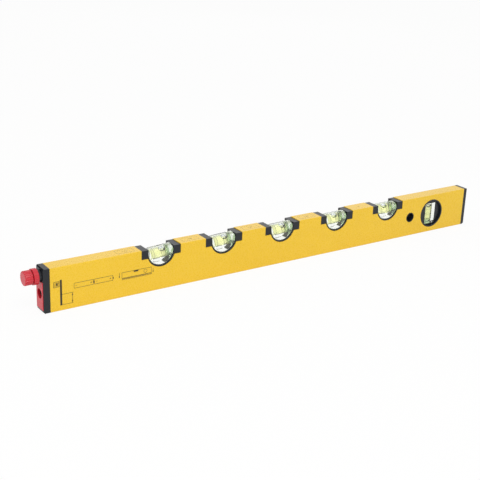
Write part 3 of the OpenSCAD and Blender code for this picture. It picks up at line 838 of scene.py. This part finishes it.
stem = knob_rod("stem", STEM_R, grip_end - STEM_ROOT, groove_start)
draw_out(stem, 1, ((0, floor_share), (groove_end - groove_start, 1), (0, 1 / floor_share),
                   (high.x - groove_end, 1)))
round_corners(stem, STEM_CORNER, 2)
combine(stem, knob_rod("pocket", PIN_R + ROOM, pin_start - ROOM, high.x + MM), "DIFFERENCE")
combine(grip, stem, "UNION")
hand_over(grip, "red_plastic", "knob", ["switch_knob"])
print("knob faces:", len(grip.data.polygons))

# %% [markdown]
# ## Strokes of ink
#
# The front carries small generic diagrams, screen printed. Print could be part of the paint, but
# strokes of ink keep sharp at any distance. Each stroke starts as a flat bar, half the ink's height
# below the face.

# %% Helpers for strokes
INK = 0.02 * MM
LINE = 0.42
body_low, body_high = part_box("body_tube")
FACES = {"front": (Vector((0, body_low.y, 0)), Vector((0, -1, 0))),
         "top": (Vector((0, 0, body_high.z)), Vector((0, 0, 1)))}


def stroke(face, start, end, width=LINE):
    """A flat bar between two points in mm: x and z on the front, x and y on the top."""
    (a, b), (c, d) = start, end
    slope = math.atan2(d - b, c - a)
    middle = ((a + c) / 2 * MM, (b + d) / 2 * MM)
    plane, outward = FACES[face]
    spot = (middle[0], 0, middle[1]) if face == "front" else (*middle, 0)
    turn = Matrix.Rotation(math.pi / 2 if face == "front" else 0, 4, "X")
    turn = turn @ Matrix.Rotation(slope, 4, "Z")
    return add_piece("stroke", bpy.ops.mesh.primitive_plane_add, size=MM,
                     location=plane - outward * INK / 2 + Vector(spot), rotation=turn.to_euler(),
                     scale=(math.hypot(c - a, d - b), width, 1))


def outline(face, x0, y0, x1, y1, width=LINE):
    h = width / 2
    return [stroke(face, (x0 - h, y), (x1 + h, y), width) for y in (y0, y1)] + \
           [stroke(face, (x, y0 + h), (x, y1 - h), width) for x in (x0, x1)]


print("ink height and line width in mm:", INK / MM, LINE)

# %% [markdown]
# ## From strokes to print
#
# All bars of a print are joined, their corners rounded as a screen leaves them, and then drawn out
# to the ink's height. Each bar could stay a piece of its own, but a print is one thing that is
# picked up and moved as one, so it becomes one piece.

# %% Helper that prints on a face
SCREEN_CORNER = 0.08 * MM


def print_on(face, name, bars):
    bpy.ops.object.select_all(action="DESELECT")
    for bar in bars:
        bar.select_set(True)
    bpy.context.view_layer.objects.active = bars[0]
    bpy.ops.object.join()
    piece = bars[0]
    piece.name = piece.data.name = name
    bpy.ops.object.mode_set(mode="EDIT")
    bpy.ops.mesh.select_all(action="SELECT")
    bpy.ops.mesh.bevel(offset=SCREEN_CORNER, segments=2, affect="VERTICES")
    bpy.ops.mesh.extrude_region_move(TRANSFORM_OT_translate={"value": FACES[face][1] * INK})
    bpy.ops.mesh.select_all(action="SELECT")
    bpy.ops.mesh.normals_make_consistent(inside=False)
    bpy.ops.object.mode_set(mode="OBJECT")
    hand_over(piece, "line_ink")
    print(name, len(piece.data.polygons), "faces")


print("corner left by the screen in mm:", SCREEN_CORNER / MM)

# %% [markdown]
# ## Height of the laser line
#
# The first diagram shows how high the laser line runs above the foot: a bar for the end of the
# level, a hatched square for the knob, two thin lines and an arrow between them. The arrow's heads
# could be triangles, but four short strokes that widen in steps are bars like all the rest.

# %% Height diagram
BAR_X, BAR_WIDTH = -280.8, 2.2
FOOT_Z, LASER_Z, LINES_END = 6.4, 18.1, -267.0
ARROW_X, HEAD_STEP, HEAD_GROWTH = -268.0, 0.7, 0.35
SQUARE_X, SQUARE_Z = (-288.9, -282.8), (27.1, 33.2)
HATCH_STEP, HATCH_LINE = 1.02, 0.3
bars = [stroke("front", (BAR_X, 5.9), (BAR_X, 34.7), BAR_WIDTH)]
bars += [stroke("front", (BAR_X + BAR_WIDTH / 2, z), (LINES_END, z)) for z in (LASER_Z, FOOT_Z)]
bars += [stroke("front", (ARROW_X, 7.2), (ARROW_X, 17.3))]
for tip, inward in ((17.8, -HEAD_STEP), (6.7, HEAD_STEP)):
    bars += [stroke("front", (ARROW_X, tip + inward * k), (ARROW_X, tip + inward * (k + 1)),
                    HEAD_GROWTH * (k + 1)) for k in range(4)]
bars += outline("front", SQUARE_X[0], SQUARE_Z[0], SQUARE_X[1], SQUARE_Z[1])
for k in range(1, 6):
    z = SQUARE_Z[0] + k * HATCH_STEP
    bars += [stroke("front", (SQUARE_X[0], z), (SQUARE_X[1], z), HATCH_LINE)]
bars += [stroke("front", (-285.2, 28.6), (-285.2, 31.7), 1.6)]
print_on("front", "print_laser_height", bars)

# %% [markdown]
# ## Which way the cells go in
#
# Two outlines stand for the cells, each with a nub at its positive end and the usual signs. The
# signs could be set as text, but they are only three strokes, so they are drawn like the rest.

# %% Cell diagram
CELL_Z = (22.2, 27.8)
SIGN_Z, SIGN_LINE = 25.0, 0.45
bars = []
for x0, x1 in ((-266.0, -243.8), (-242.6, -221.2)):
    bars += outline("front", x0, CELL_Z[0], x1, CELL_Z[1])
    bars += [stroke("front", (x0 + 1.6, SIGN_Z), (x0 + 3.4, SIGN_Z), SIGN_LINE),
             stroke("front", (x1 - 3.6, SIGN_Z), (x1 - 1.8, SIGN_Z), SIGN_LINE),
             stroke("front", (x1 - 2.7, SIGN_Z - 0.9), (x1 - 2.7, SIGN_Z + 0.9), SIGN_LINE),
             stroke("front", (x1 + 0.5, SIGN_Z - 1.2), (x1 + 0.5, SIGN_Z + 1.2), 0.9)]
print_on("front", "print_cells", bars)

# %% [markdown]
# ## A level on a surface
#
# The last diagram is a small level seen from the front, with a vial and a hole, on hatched ground.
# The hole's ring could be a torus, but ink is flat, so sixteen short strokes go round it.

# %% Level diagram
RING_SIDES = 16
RING_R = 2.0
RING_X, RING_Z = -181.8, 25.4
LEVEL_X = (-210.3, -174.6)
GROUND_STROKES, GROUND_STEP = 33, 1.1
ring = [(RING_X + RING_R * math.cos(2 * math.pi * k / RING_SIDES),
         RING_Z + RING_R * math.sin(2 * math.pi * k / RING_SIDES)) for k in range(RING_SIDES + 1)]
bars = outline("front", LEVEL_X[0], 22.1, LEVEL_X[1], 28.6)
bars += [stroke("front", ring[k], ring[k + 1]) for k in range(RING_SIDES)]
for k in range(GROUND_STROKES):
    x = LEVEL_X[0] + GROUND_STEP * k
    bars += [stroke("front", (x, 20.1), (x + 1.0, 21.9), 0.5)]
bars += [stroke("front", (-196.2, 27.6), (-190.6, 27.6), 1.6)]
for x, foot, top, tip in ((-213.4, 23.4, 29.0, 25.2), (-172.4, 22.4, 27.0, 24.0)):
    bars += [stroke("front", (x, foot), (x, top)), stroke("front", (x, foot), (x, tip), 1.0)]
print_on("front", "print_level", bars)

# %% [markdown]
# ## Gradient numbers
#
# Each vial's ratio is printed on the top edge, to the left of the vial, and the four gradients have
# a slim frame round them. The figures could be drawn in strokes, but Blender's own text has better
# forms. It is turned into a mesh before it is laid on the face, so that its place can be kept in
# the mesh as for every other piece.

# %% Ratios on the top edge
RATIOS = {1: "1:15", 2: "1:20", 3: "1:30", 4: "1:40", 5: "0"}
FIGURES = 3.6 * MM
LABEL_OFFSET = 40.5
LABEL_Y = -0.3 * MM
FRAME_HALF, FRAME_Y, FRAME_LINE = 10.3, (-4.8, 4.4), 0.25
for i, ratio in RATIOS.items():
    low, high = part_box(f"vial_holder_{i}")
    x = (low.x + high.x) / 2 / MM - LABEL_OFFSET
    bpy.ops.object.select_all(action="DESELECT")
    bpy.ops.object.text_add()
    label = bpy.context.object
    label.data.body = ratio
    label.data.size = FIGURES
    label.data.align_x, label.data.align_y = "CENTER", "CENTER"
    label.data.extrude = INK / 2
    bpy.ops.object.convert(target="MESH")
    label.location = (x * MM, LABEL_Y, body_high.z)
    bpy.ops.object.transform_apply()
    label.name = label.data.name = f"print_ratio_{i}"
    hand_over(label, "line_ink")
    if ":" in ratio:
        print_on("top", f"print_frame_{i}",
                 outline("top", x - FRAME_HALF, FRAME_Y[0], x + FRAME_HALF, FRAME_Y[1], FRAME_LINE))
    print("vial", i, "is marked", ratio)
